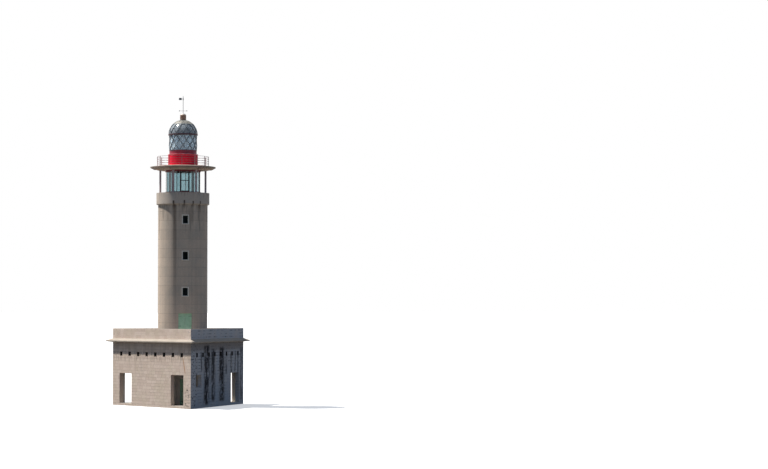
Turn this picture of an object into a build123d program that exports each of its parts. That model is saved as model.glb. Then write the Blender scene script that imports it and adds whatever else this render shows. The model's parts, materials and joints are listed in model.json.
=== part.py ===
from build123d import *
import math
import os

# Sizes in millimetres, +Z up. The origin lies on the ground under the middle of the roof's outline.

# Building, with three equal sides
side_length = 16400
wall_thickness = 500
floor_thickness = 300
door_head = 4010
vent_foot = 6170
vent_width = 500
vent_height = 500
vents_per_side = 8
roof_foot = 7830
roof_thickness = 500
parapet_height = 1230
parapet_thickness = 350

# Roof edge, which thins outwards
eaves_reach = 520
eaves_edge_foot = 90
eaves_edge_thickness = 120

# Doorways and window of the building: the distance from a corner to the near side, and the size
doorway_inset = 1480
doorway_width = 2560
window_inset = 1570
corner_window_width = 1620
corner_window_height = 1400

# Tower
tower_radius = 3050
tower_wall = 450
tower_foot = roof_foot + roof_thickness
openings_bearing = 60
strip_half_angle = 21
wall_segments = 8
core_door_width = 1200
core_door_height = 3100
terrace_door_width = 1640
terrace_door_height = 3100
window_width = 680
window_height = 1000
window_spacing = 4430
window_count = 3
wall_under_windows = 5245
wall_over_windows = 1335
window_recess = 120
window_frame_width = 40
window_frame_depth = 60
pane_thickness = 20

# Doors
leaf_thickness = 60
leaf_gap = 10
leaf_floor_gap = 5
pivot_pad_radius = 9
seat_gap = 0.3
stop_width = 60
stop_depth = 70
meeting_gap = 20
terrace_door_recess = 140

# Collar and deck at the tower's head
collar_reach = 220
collar_splay = 120
collar_height = 1210
deck_thickness = 300

# Glass room
glass_room_radius = 2150
glass_room_sides = 12
glass_room_height = 2830
glass_post_width = 50
glass_post_depth = 90
glass_thickness = 20
glass_band_depth = 60
glass_sill_height = 150
glass_head_height = 220
glass_door_stile = 90
glass_door_rail_level = 1450
glass_door_depth = 50

# Columns round the glass room
column_count = 6
column_radius = 125
column_ring_radius = 2800
first_column_bearing = 29

# Gallery disc, with a bracket over each column
gallery_radius = 4030
gallery_thickness = 520
gallery_rim_foot = 280
gallery_rim_thickness = 130
gallery_flat_margin = 100
gallery_soffit_radius = 3100
bracket_width = 240
bracket_depth = 95
bracket_end_setback = 50

# Railing
railing_radius = 3160
railing_height = 1180
railing_bays = 12
first_post_bearing = 51.5
post_size = 60
rail_size = 36
rail_count = 4
rail_end_gap = 5
straights_per_rail = 3

# Red drum
drum_radius = 1840
drum_wall = 80
drum_height = 1455
drum_band_radius = 1690
drum_band_height = 475

# Lantern
lantern_radius = 1700
lantern_height = 1905
lattice_bays = 12
lattice_rows = 3
lattice_bearing = 54
bar_width = 60
bar_depth = 70
lantern_glass_thickness = 30
dome_ring_radius = 1830
dome_ring_width = 200
dome_ring_height = 150
dome_radius = 1760
dome_cross_angle = 28
dome_facet_angle = 11
cap_angle = 44
cutter_reach = 350
cap_thickness = 40

# Beacon
pedestal_radius = 160
pedestal_height = 2200
beacon_radius = 255
beacon_height = 740
beacon_bevel = 50

# Ventilator, rod and vane
vent_neck_radius = 260
vent_neck_height = 60
vent_body_radius = 375
vent_body_height = 560
vent_cap_height = 170
rod_radius = 28
rod_height = 2200
arm_level = 370
arm_length = 450
arm_radius = 16
arm_tab_size = 110
arm_tab_thickness = 16
vane_level = 1680
vane_sleeve_radius = 50
vane_sleeve_height = 260
vane_running_gap = 5
vane_seat_radius = 46
vane_seat_height = 40
vane_reach = 520
vane_plate_length = 340
vane_plate_height = 260
vane_plate_thickness = 14
vane_bar_height = 40
vane_bearing = -36


# Worked-out levels and places
half_side = side_length / 2
wall_distance = half_side / math.sqrt(3)
eaves_distance = wall_distance + eaves_reach
floor_top = floor_thickness
vent_head = vent_foot + vent_height
parapet_foot = tower_foot
parapet_top = parapet_foot + parapet_height
inner_radius = tower_radius - tower_wall
collar_radius = tower_radius + collar_reach
first_window_sill = tower_foot + wall_under_windows
last_window_head = first_window_sill + window_spacing * (window_count - 1) + window_height
collar_foot = last_window_head + wall_over_windows
deck_foot = collar_foot + collar_height
deck_top = deck_foot + deck_thickness
gallery_foot = deck_top + glass_room_height
gallery_top = gallery_foot + gallery_thickness
gallery_flat_radius = railing_radius + gallery_flat_margin
drum_top = gallery_top + drum_height
lantern_foot = drum_top + drum_band_height
lantern_top = lantern_foot + lantern_height
dome_foot = lantern_top + dome_ring_height
lattice_outer = lantern_radius + bar_depth / 2
lattice_inner = lantern_radius - bar_depth / 2
dome_outer = dome_radius + bar_depth / 2
dome_inner = dome_radius - bar_depth / 2
plan_shift = -eaves_distance / 2
tower_place = Pos(0, plan_shift, 0)
side_turns = {"front": 0, "right": 120, "back": 240}
turn_to_openings = Rot(0, 0, openings_bearing - 90)


def save(name, shape):
    """Write one sub-part."""
    export_step(shape, "parts/" + name + ".step")


def block(x_range, y_range, z_range):
    """A box between two corners."""
    size = [high - low for low, high in (x_range, y_range, z_range)]
    corner = [low for low, high in (x_range, y_range, z_range)]
    low_corner = (Align.MIN, Align.MIN, Align.MIN)
    return Pos(*corner) * Box(*size, align=low_corner)


def disc(radius, foot, height):
    """A round plate or post on the tower's axis."""
    return Pos(0, 0, foot) * Cylinder(radius, height, align=(Align.CENTER, Align.CENTER, Align.MIN))


def arc_wall(inner, outer, foot, head, start, sweep):
    """A piece of a round wall, from an angle and through a sweep, in degrees from +X."""
    section = Polyline((inner, 0, foot), (outer, 0, foot), (outer, 0, head), (inner, 0, head), close=True)
    return Rot(0, 0, start) * revolve(make_face(section), axis=Axis.Z, revolution_arc=sweep)


def turned(points):
    """A full turn of an outline given as radius and height."""
    outline = Polyline(*[(radius, 0, height) for radius, height in points], close=True)
    return revolve(make_face(outline), axis=Axis.Z)


def group(solids):
    """Like pieces that share a node."""
    return Compound(children=[piece for solid in solids for piece in solid.solids()])


def bearing_place(bearing):
    """Turn from +X to a compass-like bearing, counted from the front towards the right."""
    return Rot(0, 0, bearing - 90)


# Building walls

def gaps_between(openings, low, high):
    """The stretches of a wall left between openings given as start and end."""
    edges = [low] + [edge for opening in openings for edge in opening] + [high]
    return list(zip(edges[0::2], edges[1::2]))


def vent_openings():
    """Start and end of each small opening under the roof, evenly spaced along a side."""
    pitch = side_length / (vents_per_side + 1)
    centres = [-half_side + pitch * (index + 1) for index in range(vents_per_side)]
    return [(centre - vent_width / 2, centre + vent_width / 2) for centre in centres]


def mitred_wall(thickness, levels):
    """One side of the building, its ends cut to meet the next sides."""
    inner_half = half_side - thickness * math.sqrt(3)
    outline = [
        (-half_side, -wall_distance, levels[0]),
        (half_side, -wall_distance, levels[0]),
        (inner_half, thickness - wall_distance, levels[0]),
        (-inner_half, thickness - wall_distance, levels[0]),
    ]
    return extrude(make_face(Polyline(*outline, close=True)), amount=levels[1] - levels[0], dir=(0, 0, 1))


def wall_piece(run, levels):
    """The part of a side along a run and between two levels."""
    across = (-wall_distance, wall_thickness - wall_distance)
    return mitred_wall(wall_thickness, levels) & block(run, across, levels)


def wall_pieces(openings, levels):
    """What is left of a side between openings over these levels."""
    return [wall_piece(run, levels) for run in gaps_between(openings, -half_side, half_side)]


def building_walls():
    """The three sides, each made as the front and turned to its place."""
    near_doorway = (-half_side + doorway_inset, -half_side + doorway_inset + doorway_width)
    far_doorway = (-near_doorway[1], -near_doorway[0])
    corner_window = (-half_side + window_inset, -half_side + window_inset + corner_window_width)
    first_opening = {"front": near_doorway, "right": corner_window, "back": near_doorway}
    for name, turn in side_turns.items():
        place = tower_place * Rot(0, 0, turn)
        uprights = wall_pieces([first_opening[name], far_doorway], (floor_top, door_head))
        uprights += wall_pieces(vent_openings(), (vent_foot, vent_head))
        beams = wall_pieces([], (door_head, vent_foot)) + wall_pieces([], (vent_head, roof_foot))
        save(name + "_wall_piers", group([place * piece for piece in uprights]))
        save(name + "_wall_beams", group([place * piece for piece in beams]))
    sill = wall_piece(corner_window, (floor_top, door_head - corner_window_height))
    save("right_window_sill", tower_place * Rot(0, 0, side_turns["right"]) * sill)


# Floor, roof and parapet

def triangle(distance, level):
    """An equal-sided triangle, each side at a distance from the middle, with a corner at the back."""
    corners = []
    for bearing in (60, 180, 300):
        turn = math.radians(bearing)
        corners.append((2 * distance * math.sin(turn), -2 * distance * math.cos(turn), level))
    return make_face(Polyline(*corners, close=True))


def roof_slab():
    """A plate whose overhang thins to a narrow edge on all three sides."""
    edge_foot = roof_foot + eaves_edge_foot
    edge_head = edge_foot + eaves_edge_thickness
    underside = loft([triangle(wall_distance, roof_foot), triangle(eaves_distance, edge_foot)])
    edge = loft([triangle(eaves_distance, edge_foot), triangle(eaves_distance, edge_head)])
    upper = loft([triangle(eaves_distance, edge_head), triangle(wall_distance, tower_foot)])
    return underside + edge + upper


def floor_and_roof():
    """The ground floor, the roof plate and the parapet on it."""
    floor = extrude(triangle(wall_distance, 0), amount=floor_top, dir=(0, 0, 1))
    save("ground_floor", tower_place * floor)
    save("roof_slab", tower_place * roof_slab())
    parapet = mitred_wall(parapet_thickness, (parapet_foot, parapet_top))
    for name, turn in side_turns.items():
        save(name + "_parapet", tower_place * Rot(0, 0, turn) * parapet)


# Tower, with its windows and doors in one upright strip

def window_levels():
    """Sill and head of each tower window."""
    sills = [first_window_sill + window_spacing * index for index in range(window_count)]
    return [(sill, sill + window_height) for sill in sills]


def strip_piece(foot, head):
    """A block of the strip that holds the openings, facing +X."""
    return arc_wall(inner_radius, tower_radius, foot, head, -strip_half_angle, 2 * strip_half_angle)


def strip_openings():
    """Foot, head and width of each opening in the strip, with the wall that it interrupts."""
    core = [(floor_top, floor_top + core_door_height, core_door_width)]
    shaft = [(tower_foot, tower_foot + terrace_door_height, terrace_door_width)]
    shaft += [(sill, head, window_width) for sill, head in window_levels()]
    return [(core, roof_foot), (shaft, collar_foot)]


def tower_strip():
    """Blocks over and between the openings, and the jambs beside them."""
    blocks = []
    jambs = []
    for openings, top in strip_openings():
        heads = [head for foot, head, width in openings]
        next_feet = [foot for foot, head, width in openings[1:]] + [top]
        blocks += [strip_piece(foot, head) for foot, head in zip(heads, next_feet)]
        for foot, head, width in openings:
            hole = block((0, tower_radius), (-width / 2, width / 2), (foot, head))
            jambs.append(strip_piece(foot, head) - hole)
    return blocks, jambs


def tower_walls():
    """Round wall under and over the roof, in segments, with the strip of openings."""
    sweep = (360 - 2 * strip_half_angle) / wall_segments
    for name, first in (("tower_wall_odd_segments", 0), ("tower_wall_even_segments", 1)):
        segments = []
        for index in range(first, wall_segments, 2):
            start = strip_half_angle + sweep * index
            segments.append(arc_wall(inner_radius, tower_radius, floor_top, roof_foot, start, sweep))
            segments.append(arc_wall(inner_radius, tower_radius, tower_foot, collar_foot, start, sweep))
        save(name, group([tower_place * turn_to_openings * piece for piece in segments]))
    blocks, jambs = tower_strip()
    save("tower_front_blocks", group([tower_place * turn_to_openings * piece for piece in blocks]))
    save("tower_opening_jambs", group([tower_place * turn_to_openings * piece for piece in jambs]))


def frame_outline(width, height, border):
    """A flat frame standing in the YZ plane, its foot at zero."""
    foot_centre = (Align.CENTER, Align.MIN)
    outer = Rectangle(width, height, align=foot_centre)
    inner = Pos(0, border) * Rectangle(width - 2 * border, height - 2 * border, align=foot_centre)
    return Plane.YZ * (outer - inner)


def chord_depth(half_width):
    """Distance from the axis to the outer corners of an opening."""
    return math.sqrt(tower_radius ** 2 - half_width ** 2)


def tower_windows():
    """A pane that closes each window, and a frame against its outer face."""
    face = chord_depth(window_width / 2) - window_recess
    frames = []
    panes = []
    half_width = window_width / 2
    for sill, head in window_levels():
        panes.append(block((face - pane_thickness, face), (-half_width, half_width), (sill, head)))
        outline = Pos(face, 0, sill) * frame_outline(window_width, window_height, window_frame_width)
        frames.append(extrude(outline, amount=window_frame_depth, dir=(1, 0, 0)))
    save("tower_window_panes", group([tower_place * turn_to_openings * piece for piece in panes]))
    save("tower_window_frames", group([tower_place * turn_to_openings * piece for piece in frames]))


def terrace_door():
    """Two closed leaves at the foot of the tower, on the roof."""
    face = chord_depth(terrace_door_width / 2) - terrace_door_recess
    depth = (face - leaf_thickness, face)
    levels = (tower_foot, tower_foot + terrace_door_height)
    leaf = block(depth, (meeting_gap / 2, terrace_door_width / 2), levels)
    leaves = [leaf, mirror(leaf, about=Plane.XZ)]
    save("terrace_door_leaves", group([tower_place * turn_to_openings * piece for piece in leaves]))


def core_door():
    """The ground-level leaf, which swings out about its outer corner, and the stop behind it."""
    face = chord_depth(core_door_width / 2) - leaf_gap
    half_leaf = core_door_width / 2 - leaf_gap
    leaf_foot = floor_top + leaf_floor_gap
    leaf_head = floor_top + core_door_height - leaf_gap
    leaf = block((face - leaf_thickness, face), (-half_leaf, half_leaf), (leaf_foot, leaf_head))
    save("core_door_leaf", tower_place * turn_to_openings * leaf)
    stop_face = face - leaf_thickness - leaf_gap
    half_width = core_door_width / 2
    levels = (floor_top, floor_top + core_door_height)
    depth = (stop_face - stop_depth, stop_face)
    stop = block(depth, (-half_width, half_width), levels)
    clear = half_width - stop_width
    stop -= block(depth, (-clear, clear), (floor_top, levels[1] - stop_width))
    pad = Pos(face, -half_leaf, floor_top)
    pad_height = leaf_floor_gap - seat_gap
    pad *= Cylinder(pivot_pad_radius, pad_height, align=(Align.CENTER, Align.CENTER, Align.MIN))
    save("core_door_stop", tower_place * turn_to_openings * stop)
    save("core_door_pivot", tower_place * turn_to_openings * pad)
    hinge = tower_place * turn_to_openings * Pos(face, -half_leaf, 0)
    print("core door hinge", hinge.position)


# Collar and deck

def collar():
    """The wider ring at the tower's head, in segments, and the deck that covers it."""
    sweep = 360 / wall_segments
    outline = Polyline(
        (inner_radius, 0, collar_foot),
        (tower_radius, 0, collar_foot),
        (collar_radius, 0, collar_foot + collar_splay),
        (collar_radius, 0, deck_foot),
        (inner_radius, 0, deck_foot),
        close=True,
    )
    segment = revolve(make_face(outline), axis=Axis.Z, revolution_arc=sweep)
    for name, first in (("collar_odd_segments", 0), ("collar_even_segments", 1)):
        pieces = [Rot(0, 0, sweep * index) * segment for index in range(first, wall_segments, 2)]
        save(name, group([tower_place * turn_to_openings * piece for piece in pieces]))
    save("glass_room_deck", tower_place * disc(collar_radius, deck_foot, deck_thickness))


# Glass room

def pane_bearings():
    """The bearing of each flat side of the glass room, the door's side first."""
    step = 360 / glass_room_sides
    return [openings_bearing + step * index for index in range(glass_room_sides)]


def corner_post():
    """A mitred post whose outer faces lie in the planes of the panes beside it."""
    half_angle = math.radians(180 / glass_room_sides)
    inner_corner = glass_room_radius - glass_post_depth / math.cos(half_angle)
    inner_width = glass_post_width - glass_post_depth * math.tan(half_angle)
    outline = []
    for corner, width, sides in (
        (glass_room_radius, glass_post_width, (-1, 0, 1)),
        (inner_corner, inner_width, (1, 0, -1)),
    ):
        for side in sides:
            along = side * width * math.cos(half_angle)
            outline.append((corner - abs(side) * width * math.sin(half_angle), along, deck_top))
    return extrude(make_face(Polyline(*outline, close=True)), amount=glass_room_height, dir=(0, 0, 1))


def glass_room():
    """Posts at the corners, flat panes between them, bands at foot and head, and the door."""
    half_angle = math.radians(180 / glass_room_sides)
    side_distance = glass_room_radius * math.cos(half_angle)
    half_pane = glass_room_radius * math.sin(half_angle) - glass_post_width
    levels = (deck_top, gallery_foot)
    post = corner_post()
    pane = block((side_distance - glass_thickness, side_distance), (-half_pane, half_pane), levels)
    posts = []
    panes = []
    for bearing in pane_bearings():
        posts.append(tower_place * bearing_place(bearing + 180 / glass_room_sides) * post)
        panes.append(tower_place * bearing_place(bearing) * pane)
    save("glass_room_posts", group(posts))
    save("glass_room_panes", group(panes))

    outer = RegularPolygon(glass_room_radius + glass_band_depth, glass_room_sides)
    band_outline = outer - RegularPolygon(glass_room_radius, glass_room_sides)
    band_turn = bearing_place(openings_bearing + 180 / glass_room_sides)
    bands = []
    for foot, height in ((deck_top, glass_sill_height), (gallery_foot - glass_head_height, glass_head_height)):
        band = extrude(Pos(0, 0, foot) * band_outline, amount=height)
        bands.append(tower_place * band_turn * band)
    save("glass_room_bands", group(bands))

    door_height = glass_room_height - glass_sill_height - glass_head_height
    outline = frame_outline(2 * half_pane, door_height, glass_door_stile)
    frame = extrude(outline, amount=glass_door_depth, dir=(1, 0, 0))
    rail_foot = glass_door_rail_level - glass_sill_height
    rail_head = rail_foot + glass_door_stile
    frame += block((0, glass_door_depth), (-half_pane, half_pane), (rail_foot, rail_head))
    door_place = Pos(side_distance, 0, deck_top + glass_sill_height)
    save("glass_room_door_frame", tower_place * bearing_place(openings_bearing) * door_place * frame)


def column_bearings():
    """The bearing of each column."""
    return [first_column_bearing + 360 / column_count * index for index in range(column_count)]


def columns():
    """The ring of columns that carries the gallery."""
    column = Pos(column_ring_radius, 0, 0) * disc(column_radius, deck_top, glass_room_height)
    pieces = [tower_place * bearing_place(bearing) * column for bearing in column_bearings()]
    save("gallery_columns", group(pieces))


# Gallery

def gallery():
    """A round plate that thins to its rim, and the brackets under it, one over each column."""
    rim_foot = gallery_foot + gallery_rim_foot
    outline = [
        (0, gallery_foot),
        (gallery_soffit_radius, gallery_foot),
        (gallery_radius, rim_foot),
        (gallery_radius, rim_foot + gallery_rim_thickness),
        (gallery_flat_radius, gallery_top),
        (0, gallery_top),
    ]
    plate = turned(outline)
    save("gallery_disc", tower_place * plate)

    end_radius = gallery_radius - bracket_end_setback
    slope_middle = (gallery_soffit_radius + gallery_radius) / 2
    underside = Polyline(
        (column_ring_radius, 0, gallery_foot),
        (slope_middle, 0, (gallery_foot + rim_foot) / 2 - bracket_depth),
        (end_radius, 0, rim_foot),
        (column_ring_radius, 0, rim_foot),
        close=True,
    )
    bracket = extrude(make_face(underside), amount=bracket_width / 2, both=True, dir=(0, 1, 0)) - plate
    brackets = [tower_place * bearing_place(bearing) * bracket for bearing in column_bearings()]
    save("gallery_brackets", group(brackets))


def rail(foot, sweep):
    """A level rail round one bay, bent from straight lengths."""
    turns = [math.radians(sweep * index / straights_per_rail) for index in range(straights_per_rail + 1)]
    inner = railing_radius - rail_size / 2
    outer = railing_radius + rail_size / 2
    outside = [(outer * math.cos(turn), outer * math.sin(turn), foot) for turn in turns]
    inside = [(inner * math.cos(turn), inner * math.sin(turn), foot) for turn in reversed(turns)]
    return extrude(make_face(Polyline(*outside, *inside, close=True)), amount=rail_size, dir=(0, 0, 1))


def railing():
    """Bays of rails round the gallery, each held by its own post."""
    step = 360 / railing_bays
    half_post = post_size / 2
    levels = (gallery_top, gallery_top + railing_height)
    post = block((railing_radius - half_post, railing_radius + half_post), (-half_post, half_post), levels)
    gap_angle = math.degrees((half_post + rail_end_gap) / railing_radius)
    rail_pitch = (railing_height - rail_size) / rail_count
    bay = post
    for index in range(1, rail_count + 1):
        bay += rail(gallery_top + rail_pitch * index, step - gap_angle)
    for name, first in (("railing_odd_bays", 0), ("railing_even_bays", 1)):
        pieces = []
        for index in range(first, railing_bays, 2):
            pieces.append(tower_place * bearing_place(first_post_bearing + step * index) * bay)
        save(name, group(pieces))


# Lantern

def red_drum():
    """The stepped round wall under the lantern."""
    ledge_foot = drum_top - drum_wall
    outline = [
        (drum_radius - drum_wall, gallery_top),
        (drum_radius, gallery_top),
        (drum_radius, drum_top),
        (drum_band_radius, drum_top),
        (drum_band_radius, lantern_foot),
        (drum_band_radius - drum_wall, lantern_foot),
        (drum_band_radius - drum_wall, ledge_foot),
        (drum_radius - drum_wall, ledge_foot),
    ]
    save("red_drum", tower_place * turned(outline))


def lantern_lattice():
    """Diagonal bars round the lantern: the round wall that is left between diamond panes."""
    half_bay = math.pi / lattice_bays
    half_width = lantern_radius * math.sin(half_bay)
    row_height = lantern_height / lattice_rows
    side_distance = half_width * row_height / math.hypot(half_width, row_height)
    shrink = 1 - bar_width / 2 / side_distance
    points = [(half_width, 0), (0, row_height), (-half_width, 0), (0, -row_height)]
    outline = Polyline(*[(0, shrink * y, shrink * z) for y, z in points], close=True)
    pane = extrude(make_face(outline), amount=2 * lantern_radius, dir=(1, 0, 0))
    body = disc(lattice_outer, lantern_foot, lantern_height) - disc(lattice_inner, lantern_foot, lantern_height)
    rims = disc(lattice_outer, lantern_foot, bar_width) - disc(lattice_inner, lantern_foot, bar_width)
    rims += Pos(0, 0, lantern_height - bar_width) * rims
    cutters = []
    for row in range(lattice_rows + 1):
        shift = 0.5 * ((row + lattice_rows) % 2)
        level = lantern_foot + row_height * row
        for bay in range(lattice_bays):
            turn = 360 / lattice_bays * (bay + 0.5 + shift)
            cutters.append(Rot(0, 0, turn) * Pos(0, 0, level) * pane)
    lattice = (body - cutters) + rims
    save("lantern_lattice", tower_place * bearing_place(lattice_bearing) * lattice)
    inner = lattice_inner - lantern_glass_thickness
    glass = disc(lattice_inner, lantern_foot, lantern_height) - disc(inner, lantern_foot, lantern_height)
    save("lantern_glass", tower_place * glass)


def slice_point(radius, angle):
    """A point of the dome's many-sided outline, at an angle above its foot."""
    middle = (math.floor(angle / dome_facet_angle) + 0.5) * dome_facet_angle
    reach = radius * math.cos(math.radians(dome_facet_angle / 2)) / math.cos(math.radians(angle - middle))
    turn = math.radians(angle)
    return (reach * math.cos(turn), dome_foot + reach * math.sin(turn))


def dome_band(inner, outer, low_angle, high_angle):
    """A shell of straight-sided slices between two heights of the dome, given as angles."""
    corners = [dome_facet_angle * index for index in range(1, math.ceil(90 / dome_facet_angle))]
    angles = [low_angle] + [angle for angle in corners if low_angle < angle < high_angle] + [high_angle]
    outside = [slice_point(outer, angle) for angle in angles]
    inside = [slice_point(inner, angle) for angle in reversed(angles)]
    return turned(outside + inside)


def direction(bearing, angle):
    """A direction from the dome's centre, as a bearing from +X and an angle above its foot."""
    turn = math.radians(bearing)
    lift = math.radians(angle)
    return Vector(math.cos(lift) * math.cos(turn), math.cos(lift) * math.sin(turn), math.sin(lift))


def diamond_cutter(middle, corners, bar_angle):
    """A four-sided wedge from the dome's centre that opens one pane, leaving half a bar round it."""
    spread = [(corner - middle) for corner in corners]
    widths = [piece.length for piece in spread]
    narrow = widths[0] * widths[1] / math.hypot(widths[0], widths[1])
    shrink = 1 - bar_angle / narrow
    plane = Plane(origin=(0, 0, 0), z_dir=middle)
    near = []
    far = []
    for corner in corners:
        ray = middle + (corner - middle) * shrink
        ray = ray * (1 / ray.dot(middle))
        near.append(plane.to_local_coords(ray * (dome_radius - cutter_reach)))
        far.append(plane.to_local_coords(ray * (dome_radius + cutter_reach)))
    near_face = plane * make_face(Polyline(*near, close=True))
    far_face = plane * make_face(Polyline(*far, close=True))
    return Pos(0, 0, dome_foot) * loft([near_face, far_face], ruled=True)


def dome_lattice():
    """Diagonal bars of the dome, which cross half way between the bars of the lantern."""
    bay = 360 / lattice_bays
    half_bar = bar_width / 2 / dome_radius
    body = dome_band(dome_inner, dome_outer, 0, cap_angle)
    rows = [0, dome_cross_angle, 2 * dome_cross_angle]
    below = -dome_cross_angle
    cutters = []
    for index in range(lattice_bays):
        for row, shift in ((0, 0.5), (1, 0)):
            low = rows[row - 1] if row else below
            turn = bay * (index + shift)
            corners = [
                direction(turn + bay / 2, rows[row]),
                direction(turn, rows[row + 1]),
                direction(turn - bay / 2, rows[row]),
                direction(turn, low),
            ]
            cutters.append(diamond_cutter(direction(turn, rows[row]), corners, half_bar))
    foot_rim = dome_band(dome_inner, dome_outer, 0, math.degrees(2 * half_bar))
    top_rim = dome_band(dome_inner, dome_outer, cap_angle - math.degrees(2 * half_bar), cap_angle)
    lattice = (body - cutters) + foot_rim + top_rim
    save("dome_lattice", tower_place * bearing_place(lattice_bearing) * lattice)
    glass = dome_band(dome_inner - lantern_glass_thickness, dome_inner, 0, cap_angle)
    save("dome_glass", tower_place * glass)


def dome_ring_and_cap():
    """The ring beam under the dome, and the closed plate over its lattice."""
    ring_inner = dome_ring_radius - dome_ring_width
    ring = disc(dome_ring_radius, lantern_top, dome_ring_height) - disc(ring_inner, lantern_top, dome_ring_height)
    save("dome_ring", tower_place * ring)
    neck_angle = math.degrees(math.acos(vent_neck_radius / dome_outer))
    cap = dome_band(dome_outer - cap_thickness, dome_outer, cap_angle, neck_angle)
    neck_hole = disc(vent_neck_radius, dome_foot, dome_outer)
    save("dome_cap", tower_place * (cap - neck_hole))


# Beacon

def beacon():
    """The pedestal from the gallery up into the lantern, and the turning lamp on it."""
    save("beacon_pedestal", tower_place * disc(pedestal_radius, gallery_top, pedestal_height))
    lamp_foot = gallery_top + pedestal_height + seat_gap
    lamp = disc(beacon_radius, lamp_foot, beacon_height)
    lamp = chamfer(lamp.edges().filter_by(GeomType.CIRCLE), beacon_bevel)
    save("beacon_head", tower_place * lamp)


# Ventilator, rod and vane

def ventilator_and_vane():
    """What stands on the dome: the ventilator, its rod with four arms, and the turning vane."""
    neck_foot = dome_foot + math.sqrt(dome_outer ** 2 - vent_neck_radius ** 2) - cap_thickness
    body_foot = neck_foot + vent_neck_height
    body_top = body_foot + vent_body_height
    top = body_top + vent_cap_height
    outline = [
        (0, neck_foot),
        (vent_neck_radius, neck_foot),
        (vent_neck_radius, body_foot),
        (vent_body_radius, body_foot),
        (vent_body_radius, body_top),
        (vent_neck_radius, top),
        (0, top),
    ]
    save("ventilator", tower_place * turned(outline))

    rod = disc(rod_radius, top, rod_height)
    arm = Pos(0, 0, top + arm_level) * Rot(0, 90, 0) * Cylinder(arm_radius, 2 * arm_length)
    tab = Pos(arm_length, 0, top + arm_level) * Box(arm_tab_size, arm_tab_thickness, arm_tab_size)
    for turn in range(4):
        rod += Rot(0, 0, 90 * turn) * tab
    rod += arm
    rod += Rot(0, 0, 90) * arm
    rod += disc(vane_seat_radius, top + vane_level, vane_seat_height)
    save("vane_rod", tower_place * bearing_place(lattice_bearing) * rod)

    sleeve_foot = top + vane_level + vane_seat_height + seat_gap
    sleeve = disc(vane_sleeve_radius, sleeve_foot, vane_sleeve_height)
    bar_level = sleeve_foot + vane_sleeve_height / 2
    half_plate = vane_plate_thickness / 2
    bar_levels = (bar_level - vane_bar_height / 2, bar_level + vane_bar_height / 2)
    vane = sleeve + block((0, vane_reach), (-half_plate, half_plate), bar_levels)
    plate_levels = (bar_level - vane_plate_height / 2, bar_level + vane_plate_height / 2)
    vane += block((vane_reach - vane_plate_length, vane_reach), (-half_plate, half_plate), plate_levels)
    vane -= disc(rod_radius + vane_running_gap, sleeve_foot, vane_sleeve_height)
    save("wind_vane", tower_place * bearing_place(vane_bearing) * vane)
    print("top of the rod", top + rod_height)


os.makedirs("parts", exist_ok=True)
building_walls()
floor_and_roof()
tower_walls()
tower_windows()
terrace_door()
core_door()
collar()
glass_room()
columns()
gallery()
railing()
red_drum()
lantern_lattice()
dome_lattice()
dome_ring_and_cap()
beacon()
ventilator_and_vane()
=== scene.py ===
import json
import math
import random

import bmesh
import bpy
from mathutils import Matrix, Vector


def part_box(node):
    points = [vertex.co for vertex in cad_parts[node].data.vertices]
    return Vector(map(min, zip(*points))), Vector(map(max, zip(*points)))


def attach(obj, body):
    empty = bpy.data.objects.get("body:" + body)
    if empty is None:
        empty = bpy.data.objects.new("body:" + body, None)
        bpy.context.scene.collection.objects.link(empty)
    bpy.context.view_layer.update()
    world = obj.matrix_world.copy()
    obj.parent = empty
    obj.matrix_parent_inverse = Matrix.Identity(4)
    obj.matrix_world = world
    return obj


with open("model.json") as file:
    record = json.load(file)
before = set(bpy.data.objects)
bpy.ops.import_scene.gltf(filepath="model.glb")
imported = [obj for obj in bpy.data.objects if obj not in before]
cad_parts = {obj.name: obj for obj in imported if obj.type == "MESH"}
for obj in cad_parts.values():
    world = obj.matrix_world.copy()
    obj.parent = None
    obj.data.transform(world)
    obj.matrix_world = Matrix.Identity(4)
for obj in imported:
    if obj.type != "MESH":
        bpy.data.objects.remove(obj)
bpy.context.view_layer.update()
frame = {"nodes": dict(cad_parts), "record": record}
random.seed(7)

# Sizes of the lighthouse in metres, as its solids have them
HALF_SIDE = 8.2
WALL_DISTANCE = HALF_SIDE / math.sqrt(3)
EAVES_REACH = 0.52
AXIS = Vector((0.0, -(WALL_DISTANCE + EAVES_REACH) / 2, 0.0))
FRONT_ONLY = -6.9  # only the front wall lies farther forward
FLOOR_TOP = 0.3
DOOR_HEAD = 4.01
VENT_FOOT = 6.17
VENT_HEAD = 6.67
ROOF_FOOT = 7.83
TERRACE = 8.33
PARAPET_TOP = 9.56
TOWER_RADIUS = 3.05
COLLAR_FOOT = 24.77
DECK_TOP = 26.28
GALLERY_TOP = 29.63
DRUM_RADIUS = 1.84
DRUM_TOP = 31.085
UPPER_DRUM_RADIUS = 1.69
LANTERN_FOOT = 31.56
LANTERN_TOP = 33.465
LATTICE_FACE = 1.733
DOME_FOOT = 33.615
WINDOW_PITCH = 4.43

# Facing stones: half the joint between them, how far they stand out, and their even courses
JOINT = 0.007
PROUD = 0.012
COURSES = 10
STONES_HEAD = 7.8
LOWER_COURSE = (DOOR_HEAD - FLOOR_TOP) / COURSES
UPPER_COURSE = (STONES_HEAD - DOOR_HEAD) / COURSES

# The height of one lift of the tower's concrete
LIFT = 1.14

# Bearings in degrees, counted from the front towards the right, and the bays they are divided into
VIEW_BEARING = 54
OPENINGS_BEARING = 60
POST_BEARING = 51.5
BAYS = 12
BAY = 360 / BAYS

# The camera: pixels of the picture and of its focal length, metres from the axis and above the base,
# pixels from the picture's middle to the axis, and the row that the horizon lies on
PICTURE_WIDTH = 768
PICTURE_HEIGHT = 469
SENSOR_WIDTH = 36
FOCAL_LENGTH = 2300
CAMERA_DISTANCE = 285.7
CAMERA_HEIGHT = 12.36
AXIS_ASIDE = 201.28
HORIZON_ROW = 305.76

# The sun, in degrees
SUN_BEARING = -55
SUN_LIFT = 60.4

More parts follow.
